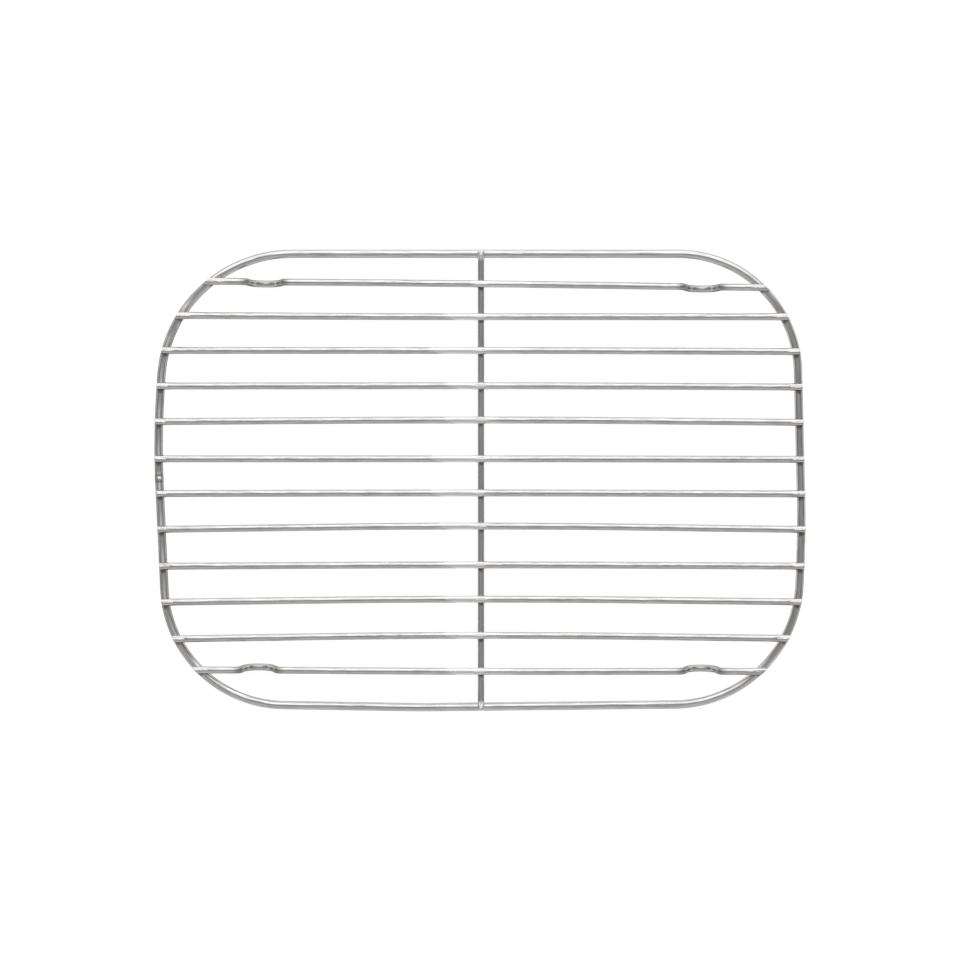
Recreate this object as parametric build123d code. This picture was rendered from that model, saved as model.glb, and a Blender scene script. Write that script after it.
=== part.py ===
from build123d import *
import os
from math import atan, cos, hypot, pi, radians, sin, tan

# Baking dish rack of welded steel wire, in millimetres, +Z up.
# A closed frame loop carries one brace across its middle. Cross wires lie over both, and the outermost
# two of them are bent down into feet. The origin is on the table, under the middle of the frame, with
# +X along the rack and +Y to its back.

# Frame loop. Its back is straight, and the other three sides bow out to a soft bend.
rack_length = 320.0  # outside, along X
rack_width = 227.0  # outside, along Y
frame_diameter = 4.1
back_left_radius = 66.5  # outside of the corner bends
back_right_radius = 61.0
front_right_radius = 64.0
front_left_radius = 61.5
front_soft_radius = 500.0  # outside of the soft bend in the front
bend_gap = 8.0  # straight wire left between a soft bend at an end and the nearer corner bend
left_bow = 6.0  # from the sharp point of the soft bend in to the sharp points of the corners
right_bow = 3.6
front_bow = 2.0
left_bend_at = 20.0  # place of the soft bend along its side
right_bend_at = -23.5
front_bend_at = -29.5

# Wires across the frame
cross_diameter = 3.4  # the foot wires are drawn from the same wire
brace_diameter = 3.1
brace_shift = 0.5  # the brace sits this far to the right of the middle
brace_end_inset = 0.5  # from the frame's outside edge to the brace's end
brace_end_break = 0.5  # chamfer on the brace's ends
wire_end_inset = 0.2  # from the frame's outside edge to a cut wire end
foot_wire_inset = 18.6  # from the frame's outside edge to a foot wire
foot_wire_spacing = 15.6  # from a foot wire to its neighbour
grid_shift = 1.6  # the cross wires as a set sit this far to the back
crown_reach = 40.0  # from the brace to where a wire over it bends down towards the frame

# Each cross wire, from the back one to the front one: how far it sits behind its even place, and how
# far the brace weld pulls its middle further to the back
cross_wires = [
    (0.0, -0.3),
    (0.5, 0.25),
    (0.7, 0.4),
    (0.9, 1.0),
    (0.3, 0.2),
    (0.9, 0.45),
    (1.0, 1.7),
    (0.55, 0.7),
    (0.55, 1.5),
    (0.15, 1.7),
]
back_tilt = -0.65  # degrees, a foot wire's turn about the brace
front_tilt = -0.15
first_tilt = -0.13  # the same for the back and front cross wires, those between turn evenly less
last_tilt = 0.05

# Feet
foot_drop = 10.0  # from the axis of a foot wire down to the axis of its foot
foot_inset = 51.1  # from the end of the rack to the middle of a foot, along X
back_left_inset = 54.4  # the back left foot sits further in
foot_width = 18.4  # between the sharp corners at the top of the two legs
foot_slant = 18.0  # degrees, how far the legs draw together from upright
foot_flat = 1.0  # straight part at the bottom
shoulder_radius = 2.75  # bend from the wire into a leg, at the axis
foot_lean = 5.7  # degrees, the feet lean in under the rack

# Resistance welds
weld_sink = 0.5  # how far a cross wire is forged into the frame or the brace
brace_sink = 1.0  # how far the brace is forged into the frame
press_depth = 0.3  # flat left by the electrode on top of a weld
press_width = 5.2  # length of that flat along the wire

half_length = rack_length / 2
half_width = rack_width / 2
frame_radius = frame_diameter / 2
cross_radius = cross_diameter / 2
brace_radius = brace_diameter / 2
overrun = 2 * frame_diameter

# Heights of the wire axes above the table
end_height = cross_radius + foot_drop
frame_height = end_height + weld_sink - cross_radius - frame_radius
brace_height = frame_height + frame_radius + brace_radius - brace_sink
middle_height = brace_height + brace_radius + cross_radius - weld_sink
top_height = middle_height + 2 * cross_diameter


def soft_turn(bow, run, next_run):
    """How far a soft bend turns, between the runs on both sides of its sharp point."""
    return atan(bow / run) + atan(bow / next_run)


def straight_room(bow, run, corner_radius):
    """Straight length between the sharp point of a soft bend and the corner bend next to it."""
    corner_turn = pi / 2 - atan(bow / run)
    return hypot(bow, run) - corner_radius * tan(corner_turn / 2)


def end_bend(bow, bend_at, back_radius, front_radius):
    """Turn and radius of the soft bend at an end, which fills the straight room but for a gap."""
    back_run = half_width - bend_at
    front_run = half_width - front_bow + bend_at
    room = min(straight_room(bow, back_run, back_radius), straight_room(bow, front_run, front_radius))
    turn = soft_turn(bow, back_run, front_run)
    return turn, (room - bend_gap) / tan(turn / 2)


def soft_rise(turn, radius):
    """How far the sharp point of a soft bend stands outside the round of that bend."""
    return radius / cos(turn / 2) - radius


def make_outline():
    """The area within the frame's outside edge, from its back left corner clockwise."""
    left_turn, left_radius = end_bend(left_bow, left_bend_at, back_left_radius, front_left_radius)
    right_turn, right_radius = end_bend(right_bow, right_bend_at, back_right_radius, front_right_radius)
    front_turn = soft_turn(front_bow, half_length - front_bend_at, half_length + front_bend_at)
    left = -half_length - soft_rise(left_turn, left_radius)
    right = half_length + soft_rise(right_turn, right_radius)
    front = -half_width - soft_rise(front_turn, front_soft_radius)
    edge = FilletPolyline(
        (left + left_bow, half_width),
        (right - right_bow, half_width),
        (right, right_bend_at),
        (right - right_bow, front + front_bow),
        (front_bend_at, front),
        (left + left_bow, front + front_bow),
        (left, left_bend_at),
        radius=[
            back_left_radius,
            back_right_radius,
            right_radius,
            front_right_radius,
            front_soft_radius,
            front_left_radius,
            left_radius,
        ],
        close=True,
    )
    return make_face(edge)


def beyond(point, reach, bottom):
    """A block over a height that takes in what is further out than a reach from the frame's centre line.
    It lies along the frame's heading at a point of that line."""
    heading = loop_line % loop_line.param_at_point(point)
    outward = heading.cross(Vector(0, 0, 1))
    if outward.dot(point) < 0:
        outward = -outward
    plane = Plane((point.X, point.Y, bottom), x_dir=outward, z_dir=(0, 0, 1))
    block = Box(
        2 * overrun,
        2 * overrun,
        top_height - bottom,
        align=(Align.MIN, Align.CENTER, Align.MIN),
    )
    return plane * Pos(reach, 0, 0) * block


def round_wire(path, radius):
    """A round wire along a centre line."""
    section = Plane(path @ 0, z_dir=path % 0) * Circle(radius)
    return sweep(section, path=path)


def frame_crossings(level, tilt):
    """Where a straight wire crosses the frame's centre line, left point first."""
    far = rack_length * tan(radians(tilt))
    line = Line((-rack_length, level - far), (rack_length, level + far))
    points = sorted(loop_line.intersect(line), key=lambda point: point.X)
    return [Vector(point.X, point.Y) for point in points]


def crown_radius(start, corner, end):
    """A bend as wide as it can be that leaves the wire straight where the electrode presses it."""
    turn = (corner - start).get_angle(end - corner)
    return (crown_reach - press_width) / tan(radians(turn) / 2)


def cross_wire_path(level, bow, ends):
    """A cross wire from frame to frame, raised over the brace and pulled aside there."""
    left, right = [point + Vector(0, 0, end_height) for point in ends]
    left_corner = Vector(brace_shift - crown_reach, level + bow, middle_height)
    right_corner = Vector(brace_shift + crown_reach, level + bow, middle_height)
    start = left + (left - left_corner).normalized() * overrun
    end = right + (right - right_corner).normalized() * overrun
    bends = [
        crown_radius(start, left_corner, right_corner),
        crown_radius(left_corner, right_corner, end),
    ]
    return FilletPolyline(start, left_corner, right_corner, end, radius=bends)


def foot_wire_path(level, tilt, lean, left_inset, ends):
    """A foot wire with its two feet, drawn in the leaning upright plane that it lies in."""
    along = Vector(cos(radians(tilt)), sin(radians(tilt)), 0)
    up = Vector(0, sin(radians(lean)), cos(radians(lean)))
    plane = Plane((0, level, end_height), x_dir=along, z_dir=along.cross(up))
    left, right = ends
    drop = foot_drop / cos(radians(lean))
    crown = (middle_height - end_height) / cos(radians(lean))
    left_outer = left_inset - half_length - foot_width / 2
    left_inner = left_outer + foot_width
    right_outer = half_length - foot_inset + foot_width / 2
    right_inner = right_outer - foot_width
    left_corner = Vector(brace_shift - crown_reach, crown)
    right_corner = Vector(brace_shift + crown_reach, crown)
    slant_run = drop * tan(radians(foot_slant))
    leg_turn = radians(90 - foot_slant)
    bottom_radius = (foot_width / 2 - slant_run - foot_flat / 2) / tan(leg_turn / 2)
    foot_bends = [shoulder_radius, bottom_radius, bottom_radius, shoulder_radius]
    crown_bends = [
        crown_radius(Vector(left_inner, 0), left_corner, right_corner),
        crown_radius(left_corner, right_corner, Vector(right_inner, 0)),
    ]
    path = FilletPolyline(
        (left.X - overrun, 0),
        (left_outer, 0),
        (left_outer + slant_run, -drop),
        (left_inner - slant_run, -drop),
        (left_inner, 0),
        left_corner,
        right_corner,
        (right_inner, 0),
        (right_inner + slant_run, -drop),
        (right_outer - slant_run, -drop),
        (right_outer, 0),
        (right.X + overrun, 0),
        radius=foot_bends + crown_bends + foot_bends,
    )
    return plane * path


def make_frame():
    """The closed outer loop."""
    return Pos(0, 0, frame_height) * round_wire(loop_line, frame_radius)


def make_brace(frame):
    """The brace, forged onto the frame, with its ends pressed flat and their edges broken."""
    length = rack_width - 2 * brace_end_inset
    bar = Pos(brace_shift, 0, brace_height) * Rot(X=90) * Cylinder(brace_radius, length)
    bar = chamfer(bar.edges().filter_by(GeomType.CIRCLE), brace_end_break)
    middle_line = Line((brace_shift, -rack_width), (brace_shift, rack_width))
    for point in loop_line.intersect(middle_line):
        crossing = Vector(point.X, point.Y)
        bar = bar - beyond(crossing, -press_width / 2, brace_height + brace_radius - press_depth)
    return bar - frame


def weld_on(wire, ends, frame, brace):
    """A wire cut flush at the frame, pressed flat over frame and brace, and seated on both."""
    for point in ends:
        wire = wire - beyond(point, frame_radius - wire_end_inset, frame_height)
        wire = wire - beyond(point, -press_width / 2, end_height + cross_radius - press_depth)
    middle_press = Pos(brace_shift, 0, middle_height + cross_radius - press_depth) * Box(
        press_width,
        rack_width,
        cross_diameter,
        align=(Align.CENTER, Align.CENTER, Align.MIN),
    )
    return wire - middle_press - frame - brace


outline = make_outline()
loop_line = offset(outline, -frame_radius).wire()
frame = make_frame()
brace = make_brace(frame)
nodes = {"frame_wire": frame, "brace_wire": brace}

back_level = half_width - foot_wire_inset + grid_shift
front_level = -half_width + foot_wire_inset + grid_shift
for name, level, tilt, lean, left_inset in [
    ("foot_wire_back", back_level, back_tilt, foot_lean, back_left_inset),
    ("foot_wire_front", front_level, front_tilt, -foot_lean, foot_inset),
]:
    ends = frame_crossings(level, tilt)
    path = foot_wire_path(level, tilt, lean, left_inset, ends)
    nodes[name] = weld_on(round_wire(path, cross_radius), ends, frame, brace)

first_level = back_level - foot_wire_spacing
last_level = front_level + foot_wire_spacing
for index, (shift, bow) in enumerate(cross_wires):
    share = index / (len(cross_wires) - 1)
    level = first_level + (last_level - first_level) * share + shift
    ends = frame_crossings(level, first_tilt + (last_tilt - first_tilt) * share)
    path = cross_wire_path(level, bow, ends)
    nodes[f"cross_wire_{index + 1:02d}"] = weld_on(round_wire(path, cross_radius), ends, frame, brace)

os.makedirs("parts", exist_ok=True)
for name, node in nodes.items():
    export_step(node, f"parts/{name}.step")
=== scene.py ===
from math import atan, cos, hypot, pi, radians, sin, tan

import bpy
import numpy as np
from bpy.props import FloatProperty, FloatVectorProperty, PointerProperty
from bpy.types import Operator, Panel, PropertyGroup
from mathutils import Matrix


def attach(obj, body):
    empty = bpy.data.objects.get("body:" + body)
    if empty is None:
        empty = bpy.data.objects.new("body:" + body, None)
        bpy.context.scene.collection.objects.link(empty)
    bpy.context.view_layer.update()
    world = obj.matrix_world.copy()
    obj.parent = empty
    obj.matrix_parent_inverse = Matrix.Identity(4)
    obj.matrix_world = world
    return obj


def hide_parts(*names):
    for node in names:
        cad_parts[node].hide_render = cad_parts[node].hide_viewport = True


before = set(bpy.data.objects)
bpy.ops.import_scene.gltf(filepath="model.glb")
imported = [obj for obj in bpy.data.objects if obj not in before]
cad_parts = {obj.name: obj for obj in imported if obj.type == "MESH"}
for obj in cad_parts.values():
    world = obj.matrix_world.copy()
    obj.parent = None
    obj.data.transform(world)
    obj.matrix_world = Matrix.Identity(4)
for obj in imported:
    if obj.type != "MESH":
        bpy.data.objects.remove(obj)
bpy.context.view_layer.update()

bl_info = {
    "name": "Baking Dish Rack",
    "version": (1, 0, 0),
    "blender": (4, 5, 0),
    "location": "3D View > Sidebar > Rack",
    "description": "Dresses the packed baking dish rack in bright drawn wire and sets up its studio",
    "category": "Object",
}

MM = 0.001
ROOT = "root"

# Cross rods from the back to the front: how far each sits behind its even place, how far the brace weld
# pulls its middle further to the back, and how far the painted highlight on its crown reaches to the
# left and to the right of the brace, in millimetres
CROSS_RODS = [
    (0.0, -0.3, 19.0, 19.0),
    (0.5, 0.25, 25.5, 21.0),
    (0.7, 0.4, 18.0, 19.0),
    (0.9, 1.0, 19.0, 12.0),
    (0.3, 0.2, 25.5, 17.0),
    (0.9, 0.45, 25.5, 8.0),
    (1.0, 1.7, 22.0, 7.0),
    (0.55, 0.7, 19.0, 6.0),
    (0.55, 1.5, 18.5, 8.0),
    (0.15, 1.7, 18.5, 12.0),
]

# The same reach of the painted highlight on the crown of the back and the front foot rod
FOOT_CROWNS = [(6.0, 27.0), (18.5, 19.0)]

# Points along an arc, and how far apart rings of points stand on a straight run
ARC_POINTS = 65
RING_STEP = 1.6 * MM

# Attributes that the materials read
WIRE_COORD = "wire_coord"
# Heat tint at welds, which on the frame and the brace is moved in front of the weld as painted shadow
WELD_HEAT_AND_SHADOW = "weld_heat_and_shadow"
PRESS_MARK = "press_mark"
# Share of painted highlight: on the crowns, on streaks on the frame and on the brace's pressed ends
HIGHLIGHT_MARK = "painted_highlight"
# Share of painted shade on bends, which also get rougher
BEND_SHADE_MARK = "painted_bend_shade"
# Share of painted shade at a wire's glancing edge
EDGE_SHADE_MARK = "painted_edge_shade"

# Points round the section of a thin wire and of the frame loop, and rings along the frame loop
ROD_AROUND = 28
FRAME_AROUND = 32
FRAME_RINGS = 1500

# Rings stand closer near a rod's ends, over the brace, along a foot rod and near the brace's ends
END_START = 0.4 * MM
END_REACH = 16 * MM
END_STEP = 0.35 * MM
MIDDLE_REACH = 6 * MM
MIDDLE_STEP = 0.4 * MM
FOOT_STEP = 0.7 * MM
BRACE_END_START = 0.8 * MM
BRACE_END_REACH = 14 * MM
BRACE_END_STEP = 0.4 * MM

# How much wider a pressed rod and brace are, and how far the flat and the slant run out along a wire
ROD_SPREAD = 0.05
BRACE_SPREAD = 0.07
PRESS_BLEND = 3.0 * MM
SLANT_START = 1.0 * MM
SLANT_BLEND = 8.0 * MM
BRACE_BLEND = 0.7 * MM

# The tint of a weld sits in front of it on the frame and the brace, heat tint and painted shadow there, and
# reaches so far on each wire
HEAT_SHADOW_SHIFT = np.array((0.0, 1.8 * MM, 0.0))
ROD_HEAT_REACH = 1.7 * MM
FRAME_HEAT_REACH = 2.1 * MM
BRACE_HEAT_REACH = 2.0 * MM

# The frame's butt weld: its swelling, the stretch that is ground, and the dark ring of heat beside it
UPSET_HEIGHT = 0.12 * MM
UPSET_WIDTH = 1.1 * MM
GROUND_REACH = 3.0 * MM
GROUND_BLEND = 1.2 * MM
HEAT_RING_AT = 1.5 * MM
HEAT_RING_WIDTH = 0.6 * MM
HEAT_RING_SHARE = 0.9

# Painted highlights on the crowns: the slant and softness of the left edge, and how the right side fades
CROWN_SLANT = 6.0 * MM
CROWN_EDGE = 2.0 * MM
CROWN_FADE = 6.0 * MM
CROWN_FADE_SHARE = 0.45
CROWN_NEAR = 3.0 * MM

# Painted highlight streaks on the left of the frame: width as a share of the wire, start and growth in a
# gap, share
STREAK_WIDTH = 0.22
STREAK_START = 0.15
STREAK_GROWTH = 0.6
STREAK_SHARE = 0.9

# How much painted shade darkens the frame's glancing edge on the left, on the right and in front
LEFT_EDGE_SHADE = 0.95
RIGHT_EDGE_SHADE = 0.4
FRONT_EDGE_SHADE = 0.6

# Weld beads: points round, rings, half sizes in millimetres, unevenness, lowest and highest ring's angle
BEAD_AROUND = 20
BEAD_RINGS = 11
BEAD_SIZE = (1.55, 1.45, 0.55)
BEAD_UNEVEN = 0.10
BEAD_ANGLE = 0.47 * pi
BEAD_HEAT = 0.75
# Share of painted shade at the beads' glancing edge
BEAD_EDGE_SHADE = 0.5

# Where each kind of piece starts in the noise, in metres, so that they do not look alike
FRAME_SEED = 0.0
BRACE_SEED = 3.0
ROD_SEED = 5.0
FOOT_SEED = 20.0
BEAD_SEED = 30.0

# Each steel's stretch of the drawing lines and of the waves, the waves' height and its added roughness
STEEL_KINDS = {
    "frame_steel": ((90.0, 1200.0, 1200.0), (60.0, 260.0, 260.0), 0.6 * MM, 0.0),
    "brace_steel": ((90.0, 1500.0, 1500.0), (80.0, 300.0, 300.0), 0.35 * MM, 0.06),
    "rod_steel": ((110.0, 1400.0, 1400.0), (70.0, 300.0, 300.0), 0.55 * MM, 0.0),
    "foot_steel": ((110.0, 1400.0, 1400.0), (70.0, 300.0, 300.0), 0.45 * MM, 0.0),
    "bead_steel": ((300.0, 300.0, 300.0), (500.0, 500.0, 500.0), 0.03 * MM, 0.15),
}

# Share of dull steel in the drawing lines, and roughness that each mark adds
LINE_DULLNESS = 0.6
LINE_ROUGHNESS = 0.08
BRIGHT_ROUGHNESS = 0.26
BEND_ROUGHNESS = 0.22
PATCH_ROUGHNESS = 0.08
HEAT_ROUGHNESS = 0.15
LINE_DEPTH = 0.0015 * MM
DENT_DEPTH = 0.14 * MM

# Floor: half its width in metres, its reflection and its own light where it is seen
FLOOR_REACH = 20.0
FLOOR_REFLECTION = 0.22
FLOOR_GLOW = 0.9

# Where the studio's light changes towards the ends, the front and the back, as parts of a direction
SIDE_STEP = (0.25, 0.85)
FRONT_STEP = (0.10, 0.70)
BACK_STEP = (0.12, 0.36)
ROOM_COLOUR = (1.0, 0.995, 0.985)


def length(name, description, millimetres):
    """A length property, given in millimetres and kept in metres."""
    return FloatProperty(
        name=name, description=description, default=millimetres * MM, unit="LENGTH", precision=5
    )


def degrees(name, description, value):
    """An angle property, given in degrees."""
    return FloatProperty(
        name=name, description=description, default=radians(value), subtype="ANGLE", unit="ROTATION"
    )


def share(name, description, value):
    """A share property, from nought to one."""
    return FloatProperty(
        name=name, description=description, default=value, min=0.0, max=1.0, subtype="FACTOR"
    )


def number(name, description, value):
    """A plain number property, such as a level of light."""
    return FloatProperty(name=name, description=description, default=value)


def colour(name, description, value):
    """A colour property."""
    return FloatVectorProperty(
        name=name, description=description, default=value, size=3, min=0.0, max=1.0, subtype="COLOR"
    )


class RackSizes(PropertyGroup):
    """Sizes of the rack's wires. Those that the solids have too are the same, but the press depth is
    less, and the press lean, rim, butt weld and sags are in the dressed rack alone."""

    rack_length: length("Rack length", "Outside of the frame, along X", 320.0)
    rack_width: length("Rack width", "Outside of the frame, along Y", 227.0)
    frame_diameter: length("Frame wire", "Diameter of the frame loop's wire", 4.1)
    back_left_radius: length("Back left radius", "Outside of the corner bend", 66.5)
    back_right_radius: length("Back right radius", "Outside of the corner bend", 61.0)
    front_right_radius: length("Front right radius", "Outside of the corner bend", 64.0)
    front_left_radius: length("Front left radius", "Outside of the corner bend", 61.5)
    front_soft_radius: length("Front soft bend", "Outside of the soft bend in the front", 500.0)
    bend_gap: length("Bend gap", "Straight wire between a soft bend at an end and the nearer corner", 8.0)
    left_bow: length("Left bow", "From the soft bend's sharp point in to the corners' ones", 6.0)
    right_bow: length("Right bow", "From the soft bend's sharp point in to the corners' ones", 3.6)
    front_bow: length("Front bow", "From the soft bend's sharp point in to the corners' ones", 2.0)
    left_bend_at: length("Left bend at", "Place of the soft bend along the left side", 20.0)
    right_bend_at: length("Right bend at", "Place of the soft bend along the right side", -23.5)
    front_bend_at: length("Front bend at", "Place of the soft bend along the front", -29.5)
    cross_diameter: length("Cross wire", "Diameter of the cross rods and foot rods", 3.4)
    brace_diameter: length("Brace wire", "Diameter of the middle brace", 3.1)
    brace_shift: length("Brace shift", "How far the brace sits to the right of the middle", 0.5)
    brace_end_inset: length("Brace end inset", "From the frame's outside to the brace's end", 0.5)
    wire_end_inset: length("Rod end inset", "From the frame's outside to a cut rod end", 0.2)
    foot_rod_inset: length("Foot rod inset", "From the frame's outside to a foot rod", 18.6)
    foot_rod_spacing: length("Foot rod spacing", "From a foot rod to its neighbour", 15.6)
    grid_shift: length("Grid shift", "How far the rods as a set sit to the back", 1.6)
    crown_reach: length("Crown reach", "From the brace to where a rod bends down", 40.0)
    back_tilt: degrees("Back tilt", "Turn of the back foot rod", -0.65)
    front_tilt: degrees("Front tilt", "Turn of the front foot rod", -0.15)
    first_tilt: degrees("First tilt", "Turn of the back cross rod", -0.13)
    last_tilt: degrees("Last tilt", "Turn of the front cross rod", 0.05)
    foot_drop: length("Foot drop", "From a foot rod's axis to its foot's axis", 10.0)
    foot_inset: length("Foot inset", "From the rack's end to the middle of a foot", 51.1)
    back_left_inset: length("Back left inset", "The same for the back left foot", 54.4)
    foot_width: length("Foot width", "Between the sharp corners at the top of a foot's legs", 18.4)
    foot_slant: degrees("Foot slant", "How far a foot's legs draw together from upright", 18.0)
    foot_flat: length("Foot flat", "Straight part at the bottom of a foot", 1.0)
    shoulder_radius: length("Shoulder radius", "Bend from a rod into a leg, at the axis", 2.75)
    foot_lean: degrees("Foot lean", "How far the feet lean in under the rack", 5.7)
    weld_sink: length("Weld sink", "How far a rod is forged into the wire under it", 0.5)
    brace_sink: length("Brace sink", "How far the brace is forged into the frame", 1.0)
    press_depth: length("Press depth", "Flat left by the electrode on top of a weld", 0.12)
    press_width: length("Press width", "Length of that flat along the rod", 5.2)
    press_lean: degrees("Press lean", "How far the flat leans to the back", 14.0)
    rim_radius: length("Rim radius", "Rounded edge of a cut rod end", 0.3)
    butt_at: length("Butt weld at", "Place of the frame's butt weld along its left side", 1.2)
    butt_grind: length("Butt grinding", "How deep the top of the butt weld is ground off", 0.1)
    left_sag: length("Left sag", "How far the frame hangs between the welds on the left", 0.5)
    right_sag: length("Right sag", "How far the frame hangs between the welds on the right", 0.12)


class SteelFinish(PropertyGroup):
    """Colours and finish of the drawn steel."""

    base: colour("Bright steel", "Colour of the clean wire", (0.72, 0.71, 0.70))
    dull: colour("Dull steel", "Colour in the drawing lines", (0.46, 0.445, 0.43))
    # Painted highlight colour, for the crowns, the streaks on the frame and the brace's pressed ends
    bright: colour("Highlight colour", "Colour of painted highlights on crowns, streaks and pressed brace ends", (0.89, 0.88, 0.87))
    # Painted shade colour on tight bends, which also get rougher
    bent: colour("Bent steel", "Colour of painted shade on tight bends", (0.40, 0.38, 0.355))
    # The heat tint's colours also make the painted shadow in front of welds on the frame and the brace
    straw: colour("Straw tint", "Outer colour of the heat tint", (0.60, 0.54, 0.48))
    brown: colour("Brown tint", "Inner colour of the heat tint", (0.26, 0.21, 0.20))
    edge: colour("Edge shade", "Share of the reflection kept at a glancing angle", (0.45, 0.45, 0.45))
    # Colour of the painted shade that darkens the wire's glancing edges
    rim: colour("Rim shade", "Colour of painted shade at a glancing angle", (0.16, 0.155, 0.15))
    polish: share("Roughness", "Roughness of the clean wire", 0.12)


class StudioSettings(PropertyGroup):
    """Camera, floor and light."""

    distance: length("Camera distance", "From the camera to the rack", 3000.0)
    view_width: length("View width", "Width of the picture at the frame loop", 471.9)
    lean: degrees("Camera lean", "How far the camera sits to the back of straight above", 1.6)
    aim_y: length("Aim", "Where the middle of the picture is, along Y", 0.36)
    floor_colour: colour("Floor", "Colour of the floor", (0.86, 0.86, 0.86))
    back_light: number("Back light", "Level of the white wall behind", 1.5)
    wall_spread: number("Wall narrowness", "How fast the wall ends sideways", 0.6)
    top_light: number("Top light", "Level straight above", 0.36)
    side_light: number("Side light", "Level at both ends", 0.27)
    front_light: number("Front light", "Level in front", 0.58)


def unit(vectors):
    """Vectors divided by their lengths."""
    return vectors / np.linalg.norm(vectors, axis=-1, keepdims=True)


def smooth(values):
    """A step from nought to one that starts and ends level, 3t^2 - 2t^3."""
    t = np.clip(values, 0.0, 1.0)
    return t * t * (3.0 - 2.0 * t)


def rounded_path(corners, radii, closed=False):
    """Straight runs joined by arcs. The arc at a corner touches both runs, and its points are
    centre + cos(t) * spoke + sin(t) * radius * heading, for t from nought to the turn."""
    corners = np.asarray(corners, float)
    count = len(corners)
    turning = range(count) if closed else range(1, count - 1)
    runs = [] if closed else [corners[:1]]
    for index, radius in zip(turning, radii):
        heading = unit(corners[index] - corners[index - 1])
        leaving = unit(corners[(index + 1) % count] - corners[index])
        turn = np.arccos(np.clip(heading @ leaving, -1.0, 1.0))
        centre = corners[index] + unit(leaving - heading) * radius / np.cos(turn / 2)
        spoke = corners[index] - heading * radius * np.tan(turn / 2) - centre
        t = np.linspace(0.0, turn, ARC_POINTS)[:, None]
        runs.append(centre + np.cos(t) * spoke + np.sin(t) * radius * heading)
    if not closed:
        runs.append(corners[-1:])
    return np.concatenate(runs)


def run_lengths(points):
    """Distance along a line of points, from its first one."""
    steps = np.linalg.norm(np.diff(points, axis=0), axis=1)
    return np.concatenate([[0.0], np.cumsum(steps)])


def at_stations(points, known, stations):
    """Points of a line at given values of the quantity that is known at each of its points."""
    return np.stack([np.interp(stations, known, points[:, axis]) for axis in range(3)], axis=1)


def soft_turn(bow, run, next_run):
    """How far a soft bend turns, between the runs on both sides of its sharp point."""
    return atan(bow / run) + atan(bow / next_run)


def straight_room(bow, run, corner_radius):
    """Straight length between the sharp point of a soft bend and the corner bend next to it."""
    corner_turn = pi / 2 - atan(bow / run)
    return hypot(bow, run) - corner_radius * tan(corner_turn / 2)


def end_bend(sizes, bow, bend_at, back_radius, front_radius):
    """Turn and radius of the soft bend at an end, which fills the straight room but for a gap."""
    back_run = sizes.rack_width / 2 - bend_at
    front_run = sizes.rack_width / 2 - sizes.front_bow + bend_at
    room = min(straight_room(bow, back_run, back_radius), straight_room(bow, front_run, front_radius))
    turn = soft_turn(bow, back_run, front_run)
    return turn, (room - sizes.bend_gap) / tan(turn / 2)


def soft_rise(turn, radius):
    """How far the sharp point of a soft bend stands outside the round of that bend."""
    return radius / cos(turn / 2) - radius


def frame_edge(sizes, inset):
    """The frame's outside edge drawn in by an inset, as a closed line of points from the back left
    corner clockwise. Each point moves in along the normal there."""
    half_length = sizes.rack_length / 2
    half_width = sizes.rack_width / 2
    left_turn, left_radius = end_bend(
        sizes, sizes.left_bow, sizes.left_bend_at, sizes.back_left_radius, sizes.front_left_radius
    )
    right_turn, right_radius = end_bend(
        sizes, sizes.right_bow, sizes.right_bend_at, sizes.back_right_radius, sizes.front_right_radius
    )
    front_turn = soft_turn(
        sizes.front_bow, half_length - sizes.front_bend_at, half_length + sizes.front_bend_at
    )
    left = -half_length - soft_rise(left_turn, left_radius)
    right = half_length + soft_rise(right_turn, right_radius)
    front = -half_width - soft_rise(front_turn, sizes.front_soft_radius)
    corners = [
        (left + sizes.left_bow, half_width, 0.0),
        (right - sizes.right_bow, half_width, 0.0),
        (right, sizes.right_bend_at, 0.0),
        (right - sizes.right_bow, front + sizes.front_bow, 0.0),
        (sizes.front_bend_at, front, 0.0),
        (left + sizes.left_bow, front + sizes.front_bow, 0.0),
        (left, sizes.left_bend_at, 0.0),
    ]
    radii = [
        sizes.back_left_radius,
        sizes.back_right_radius,
        right_radius,
        sizes.front_right_radius,
        sizes.front_soft_radius,
        sizes.front_left_radius,
        left_radius,
    ]
    edge = rounded_path(corners, radii, closed=True)
    heading = unit(np.roll(edge, -1, axis=0) - np.roll(edge, 1, axis=0))
    inward = np.cross(heading, (0.0, 0.0, 1.0))
    return edge + inward * inset


def edge_x(edge, level, side):
    """Where a level line along X meets a frame edge, on the left (-1) or the right (1)."""
    half = edge[edge[:, 0] * side > 0]
    order = np.argsort(half[:, 1])
    return np.interp(level, half[order, 1], half[order, 0])


def heights(sizes):
    """Heights of the wire axes over the table: rod ends, frame, brace and rod middles."""
    cross = sizes.cross_diameter / 2
    ends = cross + sizes.foot_drop
    loop = ends + sizes.weld_sink - cross - sizes.frame_diameter / 2
    brace = loop + sizes.frame_diameter / 2 + sizes.brace_diameter / 2 - sizes.brace_sink
    middle = brace + sizes.brace_diameter / 2 + cross - sizes.weld_sink
    return ends, loop, brace, middle


def rod_levels(sizes):
    """Levels and tilts of all the rods, from the back foot rod to the front one."""
    half_width = sizes.rack_width / 2
    back = half_width - sizes.foot_rod_inset + sizes.grid_shift
    front = -half_width + sizes.foot_rod_inset + sizes.grid_shift
    even = np.linspace(back - sizes.foot_rod_spacing, front + sizes.foot_rod_spacing, len(CROSS_RODS))
    levels = even + np.array([row[0] for row in CROSS_RODS]) * MM
    tilts = np.linspace(sizes.first_tilt, sizes.last_tilt, len(CROSS_RODS))
    return np.r_[back, levels, front], np.r_[sizes.back_tilt, tilts, sizes.front_tilt]


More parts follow.
